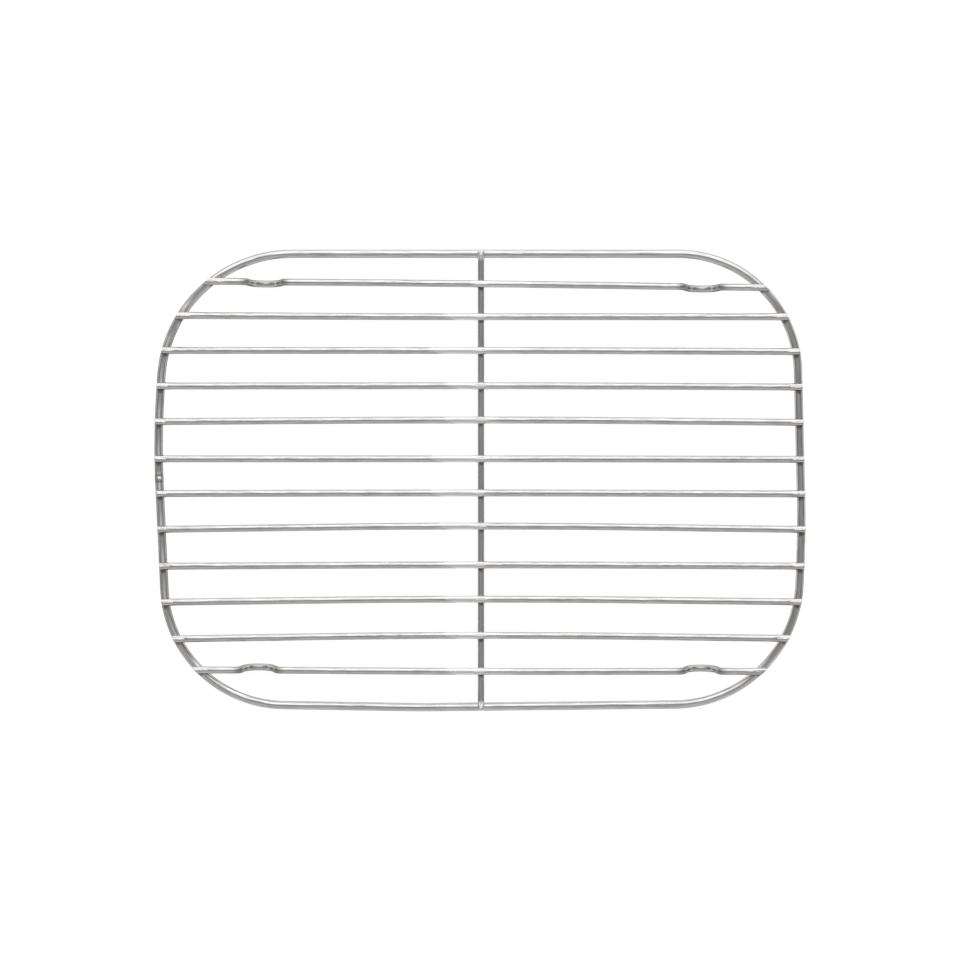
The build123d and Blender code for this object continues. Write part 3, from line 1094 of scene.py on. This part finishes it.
class RACK_OT_middle_brace(RackOperator, Operator):
    """Make the straight brace across the middle, pressed flat where it lies on the frame"""

    bl_idname = "rack.middle_brace"
    bl_label = "Middle Brace"

    def execute(self, context):
        sizes, finish = self.settings(context)
        _, _, height, _ = heights(sizes)
        radius = sizes.brace_diameter / 2
        reach = sizes.rack_width / 2 - sizes.brace_end_inset
        rim = rim_stations(2 * sizes.rim_radius)
        fine = np.arange(BRACE_END_START, BRACE_END_REACH, BRACE_END_STEP)
        between = np.arange(-reach + BRACE_END_REACH, reach - BRACE_END_REACH, RING_STEP)
        stations = np.unique(np.concatenate([-reach + rim, -reach + fine, between]))
        stations = np.unique(np.concatenate([stations, -stations]))
        axis = np.zeros((len(stations), 3))
        axis[:, 0] = sizes.brace_shift
        axis[:, 1] = stations
        axis[:, 2] = height
        along = stations - stations[0]
        width = rim_scale(reach - np.abs(stations), radius, 2 * sizes.rim_radius)
        rings, angles = carry_circle(axis, (0.0, 0.0, 1.0), width, ROD_AROUND)
        lap = sizes.rack_width / 2 - sizes.frame_diameter / 2 - sizes.press_width / 2
        near = smooth((np.abs(stations) - lap) / BRACE_BLEND + 1.0)
        rings[..., 0] += (rings[..., 0] - sizes.brace_shift) * BRACE_SPREAD * near[:, None]
        middle = np.sign(stations)[:, None] * (sizes.rack_width - sizes.frame_diameter) / 2
        flat = height + radius - sizes.press_depth - tan(sizes.press_lean) * (rings[..., 1] - middle)
        rings[..., 2] -= np.maximum(rings[..., 2] - flat, 0.0) * near[:, None]
        spots = np.concatenate([brace_crossings(sizes), brace_ends(sizes)])
        # Heat tint moved in front of the welds, so it is also painted shadow
        heat = heat_at(rings, spots - HEAT_SHADOW_SHIFT, BRACE_HEAT_REACH)
        press = near[:, None] * np.ones(ROD_AROUND)
        coords = straight_coords(along, angles, radius, BRACE_SEED)
        # The pressed ends get a painted highlight, and the rest of the brace gets painted shade at its
        # glancing edge
        marks = {
            WELD_HEAT_AND_SHADOW: heat * (1.0 - press),
            PRESS_MARK: press,
            HIGHLIGHT_MARK: press,
            EDGE_SHADE_MARK: 1.0 - press,
        }
        piece = wire_object("middle_brace", rings, coords, marks)
        finish_piece(piece, steel_material("brace_steel", finish), "brace_wire")
        return {"FINISHED"}


class RACK_OT_cross_rods(RackOperator, Operator):
    """Make the ten cross rods, crowned over the brace and cut flush with the frame"""

    bl_idname = "rack.cross_rods"
    bl_label = "Cross Rods"

    def execute(self, context):
        sizes, finish = self.settings(context)
        edge = frame_edge(sizes, sizes.wire_end_inset)
        levels, tilts = rod_levels(sizes)
        material = steel_material("rod_steel", finish)
        for index, (_, bow, *crown) in enumerate(CROSS_RODS):
            level, tilt = levels[index + 1], tilts[index + 1]
            ends_at = rod_ends(level, tilt, edge)
            axis = cross_rod_axis(sizes, level, bow * MM, ends_at)
            name = f"cross_rod_{index + 1:02d}"
            node = f"cross_wire_{index + 1:02d}"
            seed = ROD_SEED + index
            make_rod(name, sizes, axis, (0.0, 0.0, 1.0), ends_at, edge, seed, crown, material, node)
        return {"FINISHED"}


class RACK_OT_foot_rods(RackOperator, Operator):
    """Make the back and front foot rods with their bent feet"""

    bl_idname = "rack.foot_rods"
    bl_label = "Foot Rods"

    def execute(self, context):
        sizes, finish = self.settings(context)
        edge = frame_edge(sizes, sizes.wire_end_inset)
        levels, tilts = rod_levels(sizes)
        material = steel_material("foot_steel", finish)
        for word, index, lean, left_inset in (
            ("back", 0, sizes.foot_lean, sizes.back_left_inset),
            ("front", -1, -sizes.foot_lean, sizes.foot_inset),
        ):
            level, tilt = levels[index], tilts[index]
            ends_at = rod_ends(level, tilt, edge)
            axis, across = foot_rod_axis(sizes, level, tilt, lean, left_inset, ends_at)
            name = f"foot_rod_{word}"
            node = f"foot_wire_{word}"
            crown = FOOT_CROWNS[index]
            seed = FOOT_SEED + lean
            make_rod(name, sizes, axis, across, ends_at, edge, seed, crown, material, node)
        return {"FINISHED"}


class RACK_OT_weld_beads(RackOperator, Operator):
    """Make the small beads of metal squeezed out round each weld"""

    bl_idname = "rack.weld_beads"
    bl_label = "Weld Beads"

    @staticmethod
    def bead_rings(spots, a):
        """Rings of points of each bead: spot + size * lump * (cos(b) cos(a), cos(b) sin(a), sin(b)), where
        lump is 1 + unevenness * sin(3 a + 7 * number), by the bead's number."""
        b = np.linspace(-BEAD_ANGLE, BEAD_ANGLE, BEAD_RINGS)
        lump = 1.0 + BEAD_UNEVEN * np.sin(3 * a[None, :] + 7.0 * np.arange(len(spots))[:, None])
        size = np.array(BEAD_SIZE) * MM
        shape = np.stack(
            [
                np.cos(b)[:, None] * np.cos(a)[None, :],
                np.cos(b)[:, None] * np.sin(a)[None, :],
                np.sin(b)[:, None] * np.ones(BEAD_AROUND)[None, :],
            ],
            axis=-1,
        )
        return spots[:, None, None] + shape[None] * size * lump[:, None, :, None]

    def execute(self, context):
        sizes, finish = self.settings(context)
        spots = np.concatenate([frame_crossings(sizes), brace_crossings(sizes), brace_ends(sizes)])
        spots[:, 2] -= sizes.weld_sink / 2
        a = np.linspace(0.0, 2 * pi, BEAD_AROUND, endpoint=False)
        along = np.linspace(0.0, MM, BEAD_RINGS)
        whole = np.ones((BEAD_RINGS, BEAD_AROUND))
        marks = {WELD_HEAT_AND_SHADOW: BEAD_HEAT * whole, PRESS_MARK: whole, EDGE_SHADE_MARK: BEAD_EDGE_SHADE * whole}
        beads = []
        for index, rings in enumerate(self.bead_rings(spots, a)):
            coords = straight_coords(along, a, 1.5 * MM, BEAD_SEED + index)
            beads.append(wire_object(f"bead_{index:02d}", rings, coords, marks))
        with context.temp_override(active_object=beads[0], selected_editable_objects=beads):
            bpy.ops.object.join()
        piece = beads[0]
        piece.name = "weld_beads"
        finish_piece(piece, steel_material("bead_steel", finish))
        return {"FINISHED"}


class RACK_OT_studio_stage(RackOperator, Operator):
    """Set up the pale floor, the soft light and the camera"""

    bl_idname = "rack.studio_stage"
    bl_label = "Studio Stage"

    def execute(self, context):
        scene = context.scene
        studio = scene.rack_studio
        self.make_floor(scene, studio)
        self.make_world(scene, studio)
        self.make_camera(scene, studio)
        scene.view_settings.view_transform = "Standard"
        return {"FINISHED"}

    @staticmethod
    def make_floor(scene, studio):
        """A wide floor that looks white, and lights the rack as a pale one does."""
        reach = FLOOR_REACH
        mesh = bpy.data.meshes.new("floor")
        corners = [(-reach, -reach, 0.0), (reach, -reach, 0.0), (reach, reach, 0.0), (-reach, reach, 0.0)]
        mesh.from_pydata(corners, [], [(0, 1, 2, 3)])
        floor = bpy.data.objects.new("floor", mesh)
        scene.collection.objects.link(floor)
        material = bpy.data.materials.new("pale_floor")
        material.use_nodes = True
        tree = material.node_tree
        tree.nodes.clear()
        out = add_node(tree, "ShaderNodeOutputMaterial", "Floor")
        plain = add_node(tree, "ShaderNodeBsdfDiffuse", "Pale floor")
        plain.inputs["Color"].default_value = (*studio.floor_colour, 1.0)
        shaded = add_node(tree, "ShaderNodeBsdfDiffuse", "Light on the floor")
        shaded.inputs["Color"].default_value = (*(FLOOR_REFLECTION,) * 3, 1.0)
        glow = add_node(tree, "ShaderNodeEmission", "White ground")
        glow.inputs["Strength"].default_value = FLOOR_GLOW
        white = add_node(tree, "ShaderNodeAddShader", "White with that light")
        tree.links.new(shaded.outputs[0], white.inputs[0])
        tree.links.new(glow.outputs[0], white.inputs[1])
        path = add_node(tree, "ShaderNodeLightPath", "Seen directly or in a reflection")
        seen = maths(tree, "MAXIMUM", path.outputs["Is Camera Ray"], path.outputs["Is Glossy Ray"])
        seen = maths(tree, "MAXIMUM", seen, path.outputs["Is Transmission Ray"])
        mix = add_node(tree, "ShaderNodeMixShader", "White where it is seen")
        tree.links.new(seen, mix.inputs[0])
        tree.links.new(plain.outputs[0], mix.inputs[1])
        tree.links.new(white.outputs[0], mix.inputs[2])
        tree.links.new(mix.outputs[0], out.inputs["Surface"])
        mesh.materials.append(material)

    @staticmethod
    def make_world(scene, studio):
        """Light by direction: a white wall at the back, and dimmer above, at the ends and in front."""
        world = bpy.data.worlds.new("studio")
        scene.world = world
        world.use_nodes = True
        tree = world.node_tree
        ground = tree.nodes["Background"]
        place = add_node(tree, "ShaderNodeTexCoord", "Direction")
        parts = add_node(tree, "ShaderNodeSeparateXYZ", "Direction parts")
        tree.links.new(place.outputs["Generated"], parts.inputs[0])
        sideways = maths(tree, "ABSOLUTE", parts.outputs["X"], 0.0)
        forward = maths(tree, "MULTIPLY", parts.outputs["Y"], -1.0)
        side = step_between(tree, sideways, *SIDE_STEP, "Towards the ends")
        front = step_between(tree, forward, *FRONT_STEP, "Towards the front")
        spread = maths(tree, "MULTIPLY", sideways, studio.wall_spread)
        inside = maths(tree, "SUBTRACT", parts.outputs["Y"], spread)
        back = step_between(tree, inside, *BACK_STEP, "Towards the back")
        light = mix_levels(tree, side, studio.top_light, studio.side_light, "Top to ends")
        light = mix_levels(tree, front, light, studio.front_light, "To the front")
        light = mix_levels(tree, back, light, studio.back_light, "To the back")
        tree.links.new(light, ground.inputs["Strength"])
        ground.inputs["Color"].default_value = (*ROOM_COLOUR, 1.0)

    @staticmethod
    def make_camera(scene, studio):
        """The camera, almost straight above, as far away as the settings say."""
        sizes = scene.rack_sizes
        _, loop, _, _ = heights(sizes)
        data = bpy.data.cameras.new("camera")
        data.sensor_width = 36.0
        data.lens = data.sensor_width * studio.distance / studio.view_width
        data.clip_end = 100.0
        camera = bpy.data.objects.new("camera", data)
        camera.location = (
            0.0,
            studio.aim_y + studio.distance * sin(studio.lean),
            loop + studio.distance * cos(studio.lean),
        )
        camera.rotation_euler = (-studio.lean, 0.0, 0.0)
        scene.collection.objects.link(camera)
        scene.camera = camera


class VIEW3D_PT_baking_dish_rack(Panel):
    """Steps that make the rack, in order, with the sizes that a user would change"""

    bl_label = "Baking Dish Rack"
    bl_idname = "VIEW3D_PT_baking_dish_rack"
    bl_space_type = "VIEW_3D"
    bl_region_type = "UI"
    bl_category = "Rack"

    def draw(self, context):
        column = self.layout.column()
        for step in STEPS:
            column.operator(step.bl_idname)
        for group in (context.scene.rack_sizes, context.scene.rack_steel, context.scene.rack_studio):
            box = column.box()
            for key in group.bl_rna.properties.keys():
                if key not in ("rna_type", "name"):
                    box.prop(group, key)


STEPS = (
    RACK_OT_frame_loop,
    RACK_OT_middle_brace,
    RACK_OT_cross_rods,
    RACK_OT_foot_rods,
    RACK_OT_weld_beads,
    RACK_OT_studio_stage,
)
CLASSES = (RackSizes, SteelFinish, StudioSettings, *STEPS, VIEW3D_PT_baking_dish_rack)


def register():
    """Registers the classes and puts the settings on the scene."""
    for made in CLASSES:
        bpy.utils.register_class(made)
    bpy.types.Scene.rack_sizes = PointerProperty(type=RackSizes)
    bpy.types.Scene.rack_steel = PointerProperty(type=SteelFinish)
    bpy.types.Scene.rack_studio = PointerProperty(type=StudioSettings)


def unregister():
    """Takes the settings off the scene and the classes out again."""
    del bpy.types.Scene.rack_studio
    del bpy.types.Scene.rack_steel
    del bpy.types.Scene.rack_sizes
    for made in reversed(CLASSES):
        bpy.utils.unregister_class(made)


def main():
    """Makes the rack step by step."""
    register()
    for step in STEPS:
        group, name = step.bl_idname.split(".")
        getattr(getattr(bpy.ops, group), name)()
    bpy.context.view_layer.update()


if __name__ == "__main__":
    main()
